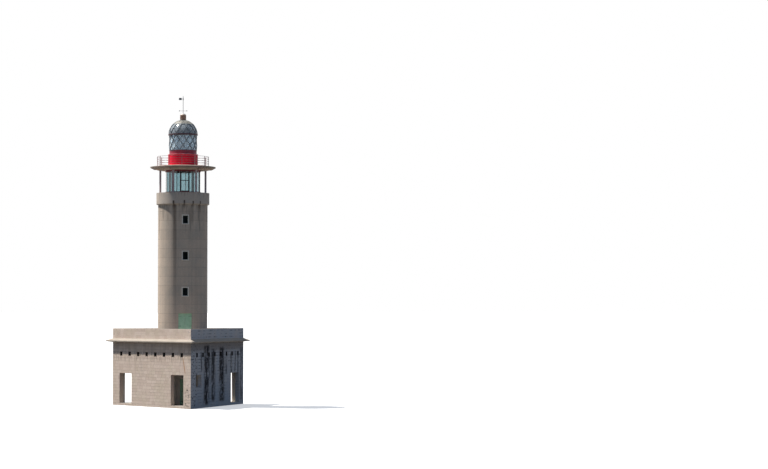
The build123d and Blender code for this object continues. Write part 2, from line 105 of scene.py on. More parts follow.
# Turns a rod so that it points along +X, away from the axis
OUTWARDS = Matrix.Rotation(math.pi / 2, 4, "Y")

# Where water has run: on the right side the distance along, half width, soft edge, strength, head and foot
BLACK_RUNS = (
    (-3.45, 0.36, 0.8, 1.0, 7.3, 0.6), (-1.5, 0.16, 0.8, 0.95, 6.8, 1.0), (1.2, 0.32, 0.75, 1.0, 7.0, 0.9),
    (-5.0, 0.08, 0.3, 0.8, 6.6, 4.7), (-2.6, 0.06, 0.3, 0.7, 6.5, 3.2), (2.6, 0.06, 0.3, 0.8, 6.5, 4.2),
    (4.2, 0.09, 0.25, 0.9, 6.4, 3.4), (5.5, 0.06, 0.25, 0.8, 6.4, 4.4), (6.4, 0.06, 0.3, 0.7, 6.3, 3.8),
    (7.5, 0.25, 0.45, 0.6, 6.8, 0.8),
)
# On the tower and its collar the bearing, half width, head, foot and strength
TOWER_DRIPS = (
    (33.5, 0.055, 25.2, 23.0, 0.95), (57.5, 0.045, 25.25, 23.9, 0.9), (76.5, 0.045, 25.15, 24.2, 0.9),
    (95, 0.045, 25.15, 23.6, 0.8), (46, 0.016, 24.9, 24.3, 0.5), (8, 0.02, 24.95, 24.2, 0.4),
    (35, 0.06, 24.6, 9.0, 0.5), (-20, 0.025, 25.1, 23.6, 0.5), (150, 0.03, 25.1, 23.2, 0.7),
    (215, 0.03, 25.2, 22.8, 0.7), (265, 0.02, 25.0, 23.8, 0.6),
)


# Small helpers for node trees

def add_node(tree, kind, **settings):
    """A node with its settings. The nodes are laid out in rows, in the order they are made."""
    made = tree.nodes.new(kind)
    row, column = divmod(len(tree.nodes), 12)
    made.location = (220 * column, -300 * row)
    for name, value in settings.items():
        setattr(made, name, value)
    return made


def join(tree, source, target):
    """A link from one socket to another."""
    tree.links.new(source, target)


def feed(tree, socket, value):
    """Gives an input what it takes: another socket, a number, a colour or a vector."""
    if isinstance(value, bpy.types.NodeSocket):
        join(tree, value, socket)
    elif socket.type == "RGBA":
        socket.default_value = (*value, 1.0)
    else:
        socket.default_value = value


def fill(tree, node, **values):
    """Feeds the named inputs of a node, with _ for a space."""
    for name, value in values.items():
        feed(tree, node.inputs[name.replace("_", " ")], value)
    return node


def maths(tree, operation, *values):
    """A maths node. Each of its values is a number or a socket."""
    made = add_node(tree, "ShaderNodeMath", operation=operation)
    for socket, value in zip(made.inputs, values):
        feed(tree, socket, value)
    return made.outputs[0]


def times(tree, first, second):
    """One value times another."""
    return maths(tree, "MULTIPLY", first, second)


def strongest(tree, masks):
    """The highest of several values at each point."""
    highest = masks[0]
    for mask in masks[1:]:
        highest = maths(tree, "MAXIMUM", highest, mask)
    return highest


def blend_colour(tree, share, under, over):
    """One colour over another by a share. Each value is a socket or a plain value."""
    made = add_node(tree, "ShaderNodeMix", data_type="RGBA", blend_type="MIX")
    for index, value in ((0, share), (6, under), (7, over)):
        feed(tree, made.inputs[index], value)
    return made.outputs[2]


def lay_over(tree, under, *layers):
    """Colours laid one over another. Each layer is its share and its colour."""
    for share, colour in layers:
        under = blend_colour(tree, share, under, colour)
    return under


def scaled(tree, colour, factor):
    """A colour made lighter or darker by a factor."""
    made = add_node(tree, "ShaderNodeVectorMath", operation="SCALE")
    join(tree, colour, made.inputs[0])
    join(tree, factor, made.inputs["Scale"])
    return made.outputs[0]


def spread(tree, value, low, high, to_low=0.0, to_high=1.0):
    """A value stretched from one range to another, and kept inside it."""
    made = add_node(tree, "ShaderNodeMapRange", interpolation_type="SMOOTHSTEP")
    fill(tree, made, Value=value, From_Min=low, From_Max=high, To_Min=to_low, To_Max=to_high)
    return made.outputs["Result"]


def band(tree, value, centre, half_width, edge):
    """1 inside a stretch of a value and 0 outside it, with soft edges."""
    size = maths(tree, "ABSOLUTE", maths(tree, "SUBTRACT", value, centre))
    return spread(tree, size, half_width, half_width + edge, 1.0, 0.0)


def cloud(tree, where, scale, detail, roughness, stretch=None):
    """Noise at a scale, with its space stretched where a stretch is given."""
    if stretch is not None:
        where = fill(tree, add_node(tree, "ShaderNodeMapping"), Vector=where, Scale=stretch).outputs[0]
    made = add_node(tree, "ShaderNodeTexNoise")
    fill(tree, made, Vector=where, Scale=scale, Detail=detail, Roughness=roughness)
    return made.outputs["Fac"]


def split(tree, where):
    """The three parts of a position or a direction."""
    made = add_node(tree, "ShaderNodeSeparateXYZ")
    join(tree, where, made.inputs[0])
    return made.outputs


def new_group(name, inputs, outputs):
    """An empty node group with named sockets, what its inputs carry, and its end node."""
    tree = bpy.data.node_groups.new(name, "ShaderNodeTree")
    for label, kind, value in inputs:
        socket = tree.interface.new_socket(name=label, in_out="INPUT", socket_type="NodeSocket" + kind)
        if value is not None:
            socket.default_value = value
    for label, kind in outputs:
        tree.interface.new_socket(name=label, in_out="OUTPUT", socket_type="NodeSocket" + kind)
    return tree, add_node(tree, "NodeGroupInput").outputs, add_node(tree, "NodeGroupOutput")


def use_group(tree, group, **values):
    """A group placed in a material, with the values of its inputs."""
    return fill(tree, add_node(tree, "ShaderNodeGroup", node_tree=group), **values)


# Effects that several finishes share

def make_grain():
    """Fine and coarse mottling of a mineral surface: a tinted colour and a height."""
    tree, given, end = new_group("mineral_grain", [
        ("Position", "Vector", None), ("Colour", "Color", (0.6, 0.5, 0.4, 1)),
        ("Patch colour", "Color", (0.5, 0.45, 0.35, 1)), ("Patch share", "Float", 0.5),
        ("Patch scale", "Float", 0.6), ("Grain scale", "Float", 14.0), ("Grain strength", "Float", 0.25),
    ], [("Colour", "Color"), ("Height", "Float")])
    broad = cloud(tree, given["Position"], given["Patch scale"], 5.0, 0.62)
    fine = cloud(tree, given["Position"], given["Grain scale"], 6.0, 0.7)
    share = times(tree, spread(tree, broad, 0.42, 0.66), given["Patch share"])
    mixed = blend_colour(tree, share, given["Colour"], given["Patch colour"])
    grain = maths(tree, "SUBTRACT", spread(tree, fine, 0.3, 0.7, 0.62, 1.28), 1.0)
    factor = maths(tree, "ADD", times(tree, grain, given["Grain strength"]), 1.0)
    fill(tree, end, Colour=scaled(tree, mixed, factor), Height=fine)
    return tree


def make_runs():
    """Dark runs of dirt that start at a level and fade downwards, in strands of uneven width."""
    tree, given, end = new_group("dirt_runs", [
        ("Along", "Float", 0.0), ("Height", "Float", 0.0), ("Top", "Float", 8.0), ("Reach", "Float", 3.0),
        ("Strand scale", "Float", 2.0), ("Amount", "Float", 0.5), ("Seed", "Float", 0.0),
    ], [("Mask", "Float")])
    spot = add_node(tree, "ShaderNodeCombineXYZ")
    fill(tree, spot, X=given["Along"], Y=times(tree, given["Height"], 0.09), Z=given["Seed"])
    strands = cloud(tree, spot.outputs[0], given["Strand scale"], 3.0, 0.65)
    below = maths(tree, "SUBTRACT", given["Top"], given["Height"])
    share = maths(tree, "DIVIDE", below, given["Reach"])
    level = times(tree, spread(tree, share, 0.0, 1.0, 1.0, 0.0), given["Amount"])
    cut = maths(tree, "SUBTRACT", strands, maths(tree, "SUBTRACT", 0.78, level))
    mask = times(tree, spread(tree, cut, 0.0, 0.16), spread(tree, share, -0.01, 0.01))
    fill(tree, end, Mask=mask)
    return tree


def make_wear():
    """Chips, scuffs and chalky spots on paint: a mask of bare places and a height."""
    tree, given, end = new_group("paint_wear", [
        ("Position", "Vector", None), ("Scale", "Float", 6.0), ("Amount", "Float", 0.3),
    ], [("Mask", "Float"), ("Height", "Float")])
    spots = cloud(tree, given["Position"], given["Scale"], 8.0, 0.72)
    limit = maths(tree, "SUBTRACT", 0.8, times(tree, given["Amount"], 0.4))
    mask = spread(tree, maths(tree, "SUBTRACT", spots, limit), 0.0, 0.06)
    fill(tree, end, Mask=mask, Height=spots)
    return tree


GRAIN = make_grain()
RUNS = make_runs()
WEAR = make_wear()


# Finishes

def new_finish(name):
    """An empty material with its surface shader, and the piece's own coordinates."""
    finish = bpy.data.materials.new(name)
    finish.use_nodes = True
    tree = finish.node_tree
    where = add_node(tree, "ShaderNodeTexCoord").outputs["Object"]
    return finish, tree, tree.nodes["Principled BSDF"], where


def opened(finish):
    """The nodes, surface, coordinates and colour of a finish that gets something more."""
    tree = finish.node_tree
    surface = tree.nodes["Principled BSDF"]
    where = tree.nodes["Texture Coordinate"].outputs["Object"]
    return tree, surface, where, surface.inputs["Base Color"].links[0].from_socket


def add_bump(tree, surface, height, distance):
    """A bump from a height."""
    made = add_node(tree, "ShaderNodeBump")
    fill(tree, made, Strength=1.0, Distance=distance, Height=height)
    join(tree, made.outputs[0], surface.inputs["Normal"])


def from_axis(tree, where):
    """A position counted from the tower's axis, in its three parts."""
    moved = add_node(tree, "ShaderNodeMapping")
    fill(tree, moved, Vector=where, Location=(-AXIS.x, -AXIS.y, 0))
    return split(tree, moved.outputs[0])


def reach_from_axis(tree, parts):
    """How far a point lies from the tower's axis."""
    east = times(tree, parts["X"], parts["X"])
    north = times(tree, parts["Y"], parts["Y"])
    return maths(tree, "SQRT", maths(tree, "ADD", east, north))


def wall_along(tree, where):
    """The distance along a side, the height, and the shares of right side, inside and openings' cheeks."""
    parts = from_axis(tree, where)
    facing = split(tree, add_node(tree, "ShaderNodeNewGeometry").outputs["Normal"])
    slant = math.sin(math.radians(120))

    def outwards(vector, side):
        """How much of a direction or a place points out of the right side (1) or the back side (-1)."""
        deep = times(tree, vector["Y"], 0.5)
        return maths(tree, "ADD", deep, times(tree, vector["X"], side * slant))

    def square_on(amount):
        """1 for faces that look straight out. Cheeks of openings lie 30 degrees off, and give 0."""
        return spread(tree, amount, 0.9, 0.97)

    faces_front = square_on(times(tree, facing["Y"], -1.0))
    faces_right = square_on(outwards(facing, 1))
    faces_back = square_on(outwards(facing, -1))
    elsewhere = maths(tree, "MAXIMUM", faces_front, faces_back)
    reach_right = outwards(parts, 1)
    near_right = spread(tree, reach_right, WALL_DISTANCE - 0.49, WALL_DISTANCE - 0.47)
    on_right = times(tree, near_right, maths(tree, "SUBTRACT", 1.0, elsewhere))
    farthest = strongest(tree, [reach_right, outwards(parts, -1), times(tree, parts["Y"], -1.0)])
    inside = spread(tree, farthest, WALL_DISTANCE - 0.495, WALL_DISTANCE - 0.485, 1.0, 0.0)
    outer = maths(tree, "MAXIMUM", elsewhere, faces_right)
    cheek = maths(tree, "SUBTRACT", 1.0, maths(tree, "MAXIMUM", outer, inside))
    across = times(tree, parts["X"], -0.5)
    deep = times(tree, parts["Y"], slant)
    along = parts["X"]
    for share, value in (
        (on_right, maths(tree, "ADD", across, deep)),
        (faces_back, maths(tree, "SUBTRACT", across, deep)),
    ):
        off = maths(tree, "SUBTRACT", value, along)
        along = maths(tree, "ADD", along, times(tree, off, share))
    return along, parts["Z"], on_right, inside, cheek


def round_along(tree, where):
    """The distance round the tower, its bearing in radians, and the height."""
    parts = from_axis(tree, where)
    angle = maths(tree, "ARCTAN2", parts["X"], times(tree, parts["Y"], -1.0))
    return times(tree, angle, TOWER_RADIUS), angle, parts["Z"]


def indoor_painted_light_and_shade(tree, height):
    """Painted light and shade indoors: pale as far up as daylight comes in by the doorways, and dark
    above.
    """
    return blend_colour(tree, spread(tree, height, 4.9, 5.3), (0.80, 0.75, 0.68), (0.08, 0.07, 0.06))


def mineral(name, colour, patch_colour, patch_share, patch_scale, grain_scale, grain_strength,
            roughness, bump):
    """A plain mineral finish: mottled colour, grain and a dull surface."""
    finish, tree, surface, where = new_finish(name)
    grain = use_group(tree, GRAIN, Position=where, Colour=colour, Patch_colour=patch_colour,
                      Patch_share=patch_share, Patch_scale=patch_scale, Grain_scale=grain_scale,
                      Grain_strength=grain_strength)
    fill(tree, surface, Base_Color=grain.outputs["Colour"], Roughness=roughness, Specular_IOR_Level=0.2)
    add_bump(tree, surface, grain.outputs["Height"], bump)
    return finish


def bed_joints(tree, height):
    """The line of each bed joint of the facing stones, from its height."""
    lower = maths(tree, "DIVIDE", maths(tree, "SUBTRACT", height, FLOOR_TOP), LOWER_COURSE)
    above = maths(tree, "SUBTRACT", height, DOOR_HEAD)
    upper = maths(tree, "DIVIDE", above, UPPER_COURSE)
    is_upper = maths(tree, "GREATER_THAN", above, 0.0)
    share = times(tree, maths(tree, "SUBTRACT", upper, lower), is_upper)
    count = maths(tree, "ADD", lower, share)
    off = maths(tree, "SUBTRACT", count, maths(tree, "ROUND", count))
    return spread(tree, maths(tree, "ABSOLUTE", off), 0.05, 0.11, 1.0, 0.0)


def facing_stone():
    """Cream facing stones, each of its own tone, dirty and given painted shade under the eaves, painted
    shade on the right side, and streaked on the right.
    """
    finish, tree, surface, where = new_finish("facing_stone")
    along, height, on_right, inside, cheek = wall_along(tree, where)
    on_front = maths(tree, "LESS_THAN", split(tree, where)["Y"], FRONT_ONLY)
    below_roof = maths(tree, "LESS_THAN", height, ROOF_FOOT + 0.1)
    tone = add_node(tree, "ShaderNodeAttribute", attribute_name="tone").outputs["Fac"]
    warm = blend_colour(tree, tone, (0.645, 0.525, 0.445), (0.735, 0.615, 0.535))
    grain = use_group(tree, GRAIN, Position=where, Colour=warm, Patch_colour=(0.60, 0.535, 0.40),
                      Patch_share=0.3, Patch_scale=0.75, Grain_scale=11.0, Grain_strength=0.26)
    runs = use_group(tree, RUNS, Along=along, Height=height, Top=ROOF_FOOT, Reach=7.5,
                     Strand_scale=1.6, Amount=0.34, Seed=3.0)
    fine_runs = use_group(tree, RUNS, Along=along, Height=height, Top=VENT_FOOT, Reach=1.6,
                          Strand_scale=5.0, Amount=0.34, Seed=9.0)
    beds = bed_joints(tree, height)
    patchy = spread(tree, cloud(tree, where, 1.3, 4.0, 0.7), 0.35, 0.65, 0.02, 0.26)
    # Painted shade under the eaves: darker from 6.9 m up to the roof
    under_eaves_painted_shade = spread(tree, height, 6.9, 7.9, 0.0, 0.45)
    # Rust runs down from the last small opening of the front
    off = maths(tree, "SUBTRACT", along, times(tree, height, -0.24))
    rust = times(tree, band(tree, off, 8.09, 0.02, 0.10), band(tree, height, 5.15, 0.75, 0.35))
    lit = lay_over(
        tree, grain.outputs["Colour"],
        (times(tree, runs.outputs["Mask"], 0.3), (0.30, 0.25, 0.21)),
        (times(tree, fine_runs.outputs["Mask"], 0.35), (0.16, 0.13, 0.11)),
        (times(tree, beds, patchy), (0.26, 0.21, 0.17)),
        (times(tree, under_eaves_painted_shade, below_roof), (0.28, 0.235, 0.20)),
        (times(tree, times(tree, rust, on_front), 0.8), (0.42, 0.20, 0.08)),
    )
    # The right side is painted a mottled cool grey, partly damp and partly painted shade, stained at its
    # joints and brown under the eaves
    damp_and_painted_shade = spread(tree, cloud(tree, where, 0.7, 5.0, 0.7, (1, 1, 0.45)), 0.25, 0.7, 0.6, 0.97)
    stained = spread(tree, cloud(tree, where, 1.1, 5.0, 0.7, (1, 1, 0.8)), 0.46, 0.6, 0.0, 0.95)
    stained = times(tree, stained, spread(tree, height, 3.2, 5.6, 0.45, 1.0))
    brown = times(tree, on_right, band(tree, height, 7.5, 0.3, 0.6))
    greyed = lay_over(
        tree, lit,
        (times(tree, damp_and_painted_shade, on_right), (0.51, 0.53, 0.57)),
        (times(tree, stained, times(tree, beds, on_right)), (0.03, 0.034, 0.042)),
        (times(tree, brown, 0.6), (0.21, 0.17, 0.15)),
    )
    # It is black where water runs down it, in wandering lines, and spotted near the front corner
    wavy = times(tree, cloud(tree, where, 0.9, 3.0, 0.6, (1, 1, 0.3)), 0.6)
    ragged = times(tree, cloud(tree, where, 3.4, 3.0, 0.7), 0.5)
    bent = maths(tree, "ADD", along, maths(tree, "ADD", wavy, ragged))
    mean_bend = 0.55
    lines = []
    for middle, half, edge, strength, top, foot in BLACK_RUNS:
        line = band(tree, bent, middle + mean_bend, half, edge)
        fall = band(tree, height, (top + foot) / 2, (top - foot) / 2, 0.5)
        lines.append(times(tree, line, times(tree, fall, strength)))
    gaps = spread(tree, cloud(tree, where, 2.6, 5.0, 0.75, (1, 1, 0.35)), 0.40, 0.50, 0.12, 1.0)
    spots = spread(tree, cloud(tree, where, 3.2, 4.0, 0.6, (1, 1, 1.6)), 0.56, 0.62)
    corner_spots = times(tree, times(tree, spots, 0.8), band(tree, along, -7.3, 0.7, 0.6))
    black = maths(tree, "MAXIMUM", times(tree, strongest(tree, lines), gaps), corner_spots)
    black = times(tree, times(tree, black, on_right), below_roof)
    low_corner = times(tree, band(tree, along, 7.6, 0.35, 0.4), band(tree, height, 1.3, 1.3, 0.6))
    low_spots = times(tree, times(tree, spots, low_corner), on_front)
    # Cheeks of the small openings get painted shade, walls inside painted light and shade, the coping edge
    # a painted highlight, level faces weathered
    cheek_painted_shade = times(tree, cheek, band(tree, height, (VENT_FOOT + VENT_HEAD) / 2, 0.3, 0.02))
    # Painted highlight: the top few centimetres of the walls' faces are paler
    top_edge_painted_highlight = spread(tree, height, PARAPET_TOP - 0.06, PARAPET_TOP - 0.04, 0.0, 0.5)
    normal = add_node(tree, "ShaderNodeNewGeometry").outputs["Normal"]
    upward = spread(tree, split(tree, normal)["Z"], 0.5, 0.9, 0.0, 0.85)
    weathered = lay_over(
        tree, greyed,
        (black, (0.014, 0.016, 0.024)),
        (low_spots, (0.10, 0.085, 0.075)),
        (times(tree, cheek_painted_shade, 0.92), (0.05, 0.045, 0.04)),
        (times(tree, inside, 0.95), indoor_painted_light_and_shade(tree, height)),
        (top_edge_painted_highlight, (0.66, 0.60, 0.53)),
        (upward, (0.30, 0.265, 0.225)),
    )
    fill(tree, surface, Base_Color=weathered, Roughness=0.86, Specular_IOR_Level=0.06)
    add_bump(tree, surface, grain.outputs["Height"], 0.01)
    return finish


def drips(tree, where, angle, height, wide=1.0):
    """Single wandering runs down the round wall."""
    wander = maths(tree, "SUBTRACT", cloud(tree, where, 0.8, 2.0, 0.5, (1, 1, 0.5)), 0.5)
    wavy = times(tree, wander, 0.05)
    lines = []
    for bearing, half, head, foot, strength in TOWER_DRIPS:
        off = maths(tree, "SUBTRACT", angle, math.radians(bearing))
        size = maths(tree, "ABSOLUTE", maths(tree, "ADD", off, wavy))
        line = spread(tree, size, half * 0.3 * wide, half * wide, 1.0, 0.0)
        fade = spread(tree, height, foot, head, 0.0, strength)
        below = spread(tree, height, head, head + 0.12, 1.0, 0.0)
        lines.append(times(tree, line, times(tree, fade, below)))
    return strongest(tree, lines)


def tower_concrete():
    """Weathered tower concrete with a line at each lift, runs of dirt below the collar, and painted light
    and shade inside the building.
    """
    finish, tree, surface, where = new_finish("tower_concrete")
    along, angle, height = round_along(tree, where)
    grain = use_group(tree, GRAIN, Position=where, Colour=(0.575, 0.478, 0.393),
                      Patch_colour=(0.43, 0.395, 0.345), Patch_share=0.5, Patch_scale=0.45,
                      Grain_scale=9.0, Grain_strength=0.22)
    off = maths(tree, "SUBTRACT", maths(tree, "MODULO", height, LIFT), LIFT / 2)
    joint = spread(tree, maths(tree, "ABSOLUTE", off), LIFT / 2 - 0.03, LIFT / 2 - 0.01)
    row = maths(tree, "FLOOR", maths(tree, "DIVIDE", height, LIFT))
    tone = fill(tree, add_node(tree, "ShaderNodeTexWhiteNoise", noise_dimensions="1D"), W=row)
    lift_tone = spread(tree, tone.outputs["Value"], 0.0, 1.0, 0.97, 1.03)
    boards = cloud(tree, where, 3.5, 2.0, 0.5, (1, 1, 0.02))
    board_tone = spread(tree, boards, 0.3, 0.7, 0.94, 1.05)
    runs = use_group(tree, RUNS, Along=along, Height=height, Top=COLLAR_FOOT + 0.2, Reach=9.0,
                     Strand_scale=2.2, Amount=0.33, Seed=5.0)
    # Painted light and shade where the tower stands inside the building, below the roof
    indoor_light_and_shade_share = spread(tree, height, ROOF_FOOT, ROOF_FOOT + 0.1, 0.95, 0.0)
    body = lay_over(
        tree, scaled(tree, grain.outputs["Colour"], times(tree, lift_tone, board_tone)),
        (times(tree, runs.outputs["Mask"], 0.45), (0.12, 0.105, 0.09)),
        (times(tree, joint, 0.42), (0.22, 0.19, 0.165)),
        (drips(tree, where, angle, height, 1.9), (0.085, 0.055, 0.038)),
        (indoor_light_and_shade_share, indoor_painted_light_and_shade(tree, height)),
    )
    fill(tree, surface, Base_Color=body, Roughness=0.84, Specular_IOR_Level=0.15)
    relief = maths(tree, "ADD", times(tree, joint, -1.5), grain.outputs["Height"])
    add_bump(tree, surface, relief, 0.008)
    return finish


def collar_concrete():
    """Smooth concrete of the tower's head, paler than the tower, with rusty drips."""
    finish, tree, surface, where = new_finish("collar_concrete")
    along, angle, height = round_along(tree, where)
    grain = use_group(tree, GRAIN, Position=where, Colour=(0.52, 0.455, 0.395),
                      Patch_colour=(0.42, 0.40, 0.37), Patch_share=0.5, Patch_scale=0.8,
                      Grain_scale=12.0, Grain_strength=0.2)
    runs = use_group(tree, RUNS, Along=along, Height=height, Top=DECK_TOP + 0.02, Reach=2.6,
                     Strand_scale=2.6, Amount=0.3, Seed=2.0)
    body = lay_over(
        tree, grain.outputs["Colour"],
        (times(tree, runs.outputs["Mask"], 0.3), (0.12, 0.085, 0.06)),
        (drips(tree, where, angle, height), (0.045, 0.032, 0.026)),
    )
    fill(tree, surface, Base_Color=body, Roughness=0.82, Specular_IOR_Level=0.2)
    add_bump(tree, surface, grain.outputs["Height"], 0.004)
    return finish


def gallery_concrete():
    """Brown concrete under the gallery, darker towards its rim and pale on top."""
    finish = mineral("gallery_concrete", (0.64, 0.47, 0.39), (0.40, 0.34, 0.24), 0.7, 1.1, 10.0, 0.35,
                     0.8, 0.004)
    tree, surface, where, source = opened(finish)
    parts = from_axis(tree, where)
    reach = reach_from_axis(tree, parts)
    rim = maths(tree, "MAXIMUM", spread(tree, reach, 3.2, 3.95, 0.0, 0.6),
                spread(tree, reach, 4.0, 4.08, 0.0, 0.92))
    top = spread(tree, parts["Z"], GALLERY_TOP - 0.01, GALLERY_TOP - 0.004, 0.0, 0.9)
    mixed = lay_over(tree, source, (rim, (0.09, 0.09, 0.085)), (top, (0.41, 0.38, 0.34)))
    fill(tree, surface, Base_Color=mixed)
    return finish


def painted(name, colour, under_colour, roughness, wear_scale, wear_amount, metallic=0.0, faded=None,
            sheen=0.2):
    """Paint with mottled sheen and worn spots that show what is under it."""
    finish, tree, surface, where = new_finish(name)
    wear = use_group(tree, WEAR, Position=where, Scale=wear_scale, Amount=wear_amount)
    share = spread(tree, cloud(tree, where, wear_scale * 0.35, 4.0, 0.6), 0.35, 0.7)
    pale = faded or tuple(min(1.0, part * 1.35 + 0.02) for part in colour)
    coat = blend_colour(tree, share, colour, pale)
    mixed = blend_colour(tree, wear.outputs["Mask"], coat, under_colour)
    rough = spread(tree, wear.outputs["Height"], 0.3, 0.8, roughness, min(1.0, roughness + 0.3))
    fill(tree, surface, Base_Color=mixed, Roughness=rough, Metallic=metallic, Specular_IOR_Level=sheen)
    add_bump(tree, surface, wear.outputs["Height"], 0.001)
    return finish


def by_level(finish, limit, over_colour):
    """Another colour above a level, over what the finish has."""
    tree, surface, where, source = opened(finish)
    share = spread(tree, split(tree, where)["Z"], limit, limit + 0.01)
    mottle = spread(tree, cloud(tree, where, 3.0, 4.0, 0.6), 0.3, 0.6, 0.82, 1.0)
    fill(tree, surface, Base_Color=blend_colour(tree, times(tree, share, mottle), source, over_colour))


def cap_plate():
    """The dome's closed plate: dull metal, with the ribs of the lattice running on over it."""
    finish = painted("cap_metal", (0.175, 0.18, 0.17), (0.16, 0.125, 0.09), 0.3, 3.0, 0.35,
                     faded=(0.25, 0.225, 0.175), sheen=0.5)
    tree, surface, where, source = opened(finish)
    parts = from_axis(tree, where)
    bearing = maths(tree, "ARCTAN2", parts["X"], times(tree, parts["Y"], -1.0))
    reach = reach_from_axis(tree, parts)
    lift = maths(tree, "ARCTAN2", maths(tree, "SUBTRACT", parts["Z"], DOME_FOOT), reach)
    # Each bar goes half a bay round while the dome's wall turns inwards by 28 degrees
    twist = BAY / 2 / 28
    lines = []
    for side in (-twist, twist):
        slanted = maths(tree, "ADD", bearing, times(tree, lift, side))
        past_view = maths(tree, "SUBTRACT", slanted, math.radians(VIEW_BEARING))
        bays = maths(tree, "DIVIDE", past_view, math.radians(BAY))
        off = maths(tree, "SUBTRACT", bays, maths(tree, "ROUND", bays))
        width = times(tree, maths(tree, "ABSOLUTE", off), reach)
        lines.append(spread(tree, width, 0.05, 0.075, 1.0, 0.0))
    ribs = strongest(tree, lines)
    mixed = blend_colour(tree, times(tree, ribs, 0.75), source, (0.045, 0.055, 0.06))
    fill(tree, surface, Base_Color=mixed)
    add_bump(tree, surface, ribs, 0.02)
    return finish


def glass(name, colour, roughness, dust, dust_colour, clear=1.0):
    """Glass with a film of dust, thicker in patches, and a share that is clear."""
    finish, tree, surface, where = new_finish(name)
    film = cloud(tree, where, 1.6, 5.0, 0.65, (1, 1, 0.5))
    tinted = blend_colour(tree, spread(tree, film, 0.35, 0.8, 0.0, dust), colour, dust_colour)
    rough = spread(tree, film, 0.35, 0.8, roughness, roughness + 0.25 * dust)
    fill(tree, surface, Base_Color=tinted, Roughness=rough, Transmission_Weight=clear,
         Specular_IOR_Level=0.3, IOR=1.45)
    return finish


# Pieces of the scene and of the lighthouse

def new_piece(name, bm, finish, smooth=False):
    """A piece from a bmesh, with its finish."""
    mesh = bpy.data.meshes.new(name)
    bm.to_mesh(mesh)
    bm.free()
    mesh.materials.append(finish)
    for face in mesh.polygons:
        face.use_smooth = smooth
    piece = bpy.data.objects.new(name, mesh)
    bpy.context.scene.collection.objects.link(piece)
    return piece


def finish_piece(name, bm, finish, body, smooth=False):
    """A new piece that rides on a body of the lighthouse."""
    piece = new_piece(name, bm, finish, smooth)
    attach(piece, body)


# Sun and sky, floor and camera

def white_to_the_eye(tree, light, shown, output):
    """One shader for the light that reaches the pieces, and another for what the eye sees."""
    path = add_node(tree, "ShaderNodeLightPath").outputs
    # The eye sees rays from the camera, in reflections and through glass
    seen = strongest(tree, [path["Is Camera Ray"], path["Is Glossy Ray"], path["Is Transmission Ray"]])
    mix = add_node(tree, "ShaderNodeMixShader")
    for socket, source in zip(mix.inputs, (seen, light.outputs[0], shown.outputs[0])):
        join(tree, source, socket)
    fill(tree, add_node(tree, output), Surface=mix.outputs[0])


def make_floor():
    """A wide pale floor that keeps the shadow."""
    finish = bpy.data.materials.new("floor")
    finish.use_nodes = True
    tree = finish.node_tree
    tree.nodes.clear()
    pale = fill(tree, add_node(tree, "ShaderNodeBsdfDiffuse"), Color=(0.6, 0.6, 0.6))
    glow = fill(tree, add_node(tree, "ShaderNodeEmission"), Strength=0.52)
    both = add_node(tree, "ShaderNodeAddShader")
    join(tree, pale.outputs[0], both.inputs[0])
    join(tree, glow.outputs[0], both.inputs[1])
    dull = fill(tree, add_node(tree, "ShaderNodeBsdfDiffuse"), Color=(0.12, 0.113, 0.10))
    white_to_the_eye(tree, dull, both, "ShaderNodeOutputMaterial")
    bm = bmesh.new()
    bmesh.ops.create_grid(bm, x_segments=1, y_segments=1, size=3000)
    bmesh.ops.translate(bm, verts=bm.verts, vec=(0, 0, -0.003))
    floor = new_piece("floor", bm, finish)


def make_sky():
    """A white background, with cool soft light from all round."""
    world = bpy.data.worlds.new("sky")
    bpy.context.scene.world = world
    world.use_nodes = True
    tree = world.node_tree
    tree.nodes.clear()
    white = fill(tree, add_node(tree, "ShaderNodeBackground"), Color=(1, 1, 1))
    cool = fill(tree, add_node(tree, "ShaderNodeBackground"), Color=(0.13, 0.19, 0.29))
    white_to_the_eye(tree, cool, white, "ShaderNodeOutputWorld")


def direction(bearing, lift):
    """Towards a bearing counted from the front, and upwards by a lift, both in radians."""
    level = math.cos(lift)
    return Vector((math.sin(bearing) * level, -math.cos(bearing) * level, math.sin(lift)))


def make_sun():
    """A warm sun from the left, a little in front of the building."""
    lamp = bpy.data.lights.new("sun", "SUN")
    lamp.energy = 6.3
    lamp.angle = math.radians(1.5)
    lamp.color = (1.0, 0.955, 0.89)
    sun = bpy.data.objects.new("sun", lamp)
    bpy.context.scene.collection.objects.link(sun)
    towards = direction(math.radians(SUN_BEARING), math.radians(SUN_LIFT))
    sun.rotation_euler = towards.to_track_quat("Z", "Y").to_euler()


def make_camera():
    """A long lens far off on the right of the front, with the lighthouse left of its middle."""
    lens = bpy.data.cameras.new("camera")
    camera = bpy.data.objects.new("camera", lens)
    bpy.context.scene.collection.objects.link(camera)
    bpy.context.scene.camera = camera
    lens.lens = FOCAL_LENGTH / PICTURE_WIDTH * SENSOR_WIDTH
    lens.clip_end = 6000
    turn = math.radians(VIEW_BEARING)
    camera.location = AXIS + Vector((CAMERA_DISTANCE * math.sin(turn), -CAMERA_DISTANCE * math.cos(turn),
                                     CAMERA_HEIGHT))
    lift = math.atan((HORIZON_ROW - PICTURE_HEIGHT / 2) / FOCAL_LENGTH)
    back = direction(turn - math.atan(AXIS_ASIDE / FOCAL_LENGTH), lift)
    look = Vector((-back.x, -back.y, back.z))
    camera.rotation_euler = look.to_track_quat("-Z", "Y").to_euler()


# Shapes that the new pieces are made of

def add_block(bm, place, size, centre):
    """A box in a turned place: its size and its centre. Gives back its corners."""
    at = place @ Matrix.Translation(centre) @ Matrix.Diagonal((*size, 1))
    return bmesh.ops.create_cube(bm, size=1, matrix=at)["verts"]


def add_rod(bm, place, radius, length, segments=12, top_radius=None):
    """A round bar along its own Z, from its foot."""
    bmesh.ops.create_cone(
        bm, cap_ends=True, segments=segments, radius1=radius,
        radius2=radius if top_radius is None else top_radius, depth=length,
        matrix=place @ shift(0, 0, length / 2))


